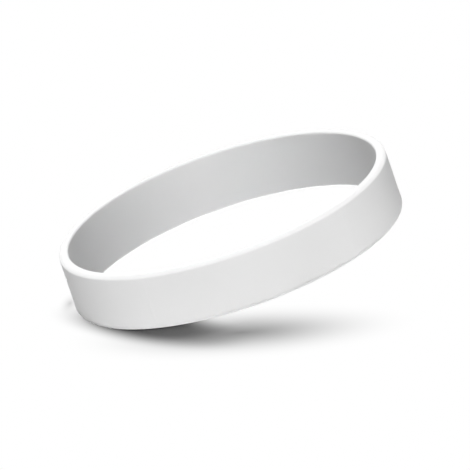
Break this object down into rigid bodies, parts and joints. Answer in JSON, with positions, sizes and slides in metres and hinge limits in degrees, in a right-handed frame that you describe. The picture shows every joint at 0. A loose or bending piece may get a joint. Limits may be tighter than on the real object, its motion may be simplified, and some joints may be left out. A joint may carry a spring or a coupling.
{
  "type": "silicone wristband",
  "caption": "Plain closed wristband of soft silicone rubber, a round band with a straight wall and softly rounded rims.",
  "frame": {"origin": "centre of the ring, in the plane that the lower rim rests on", "axes": "+Z along the ring's axis, from the lower rim to the upper rim; -Y towards the viewer"},
  "size_m": [0.0684, 0.0684, 0.012],
  "materials": {
    "silicone": "matte white silicone rubber, moulded and unprinted"
  },
  "bodies": {
    "root": {"band": "silicone"}
  },
  "joints": []
}
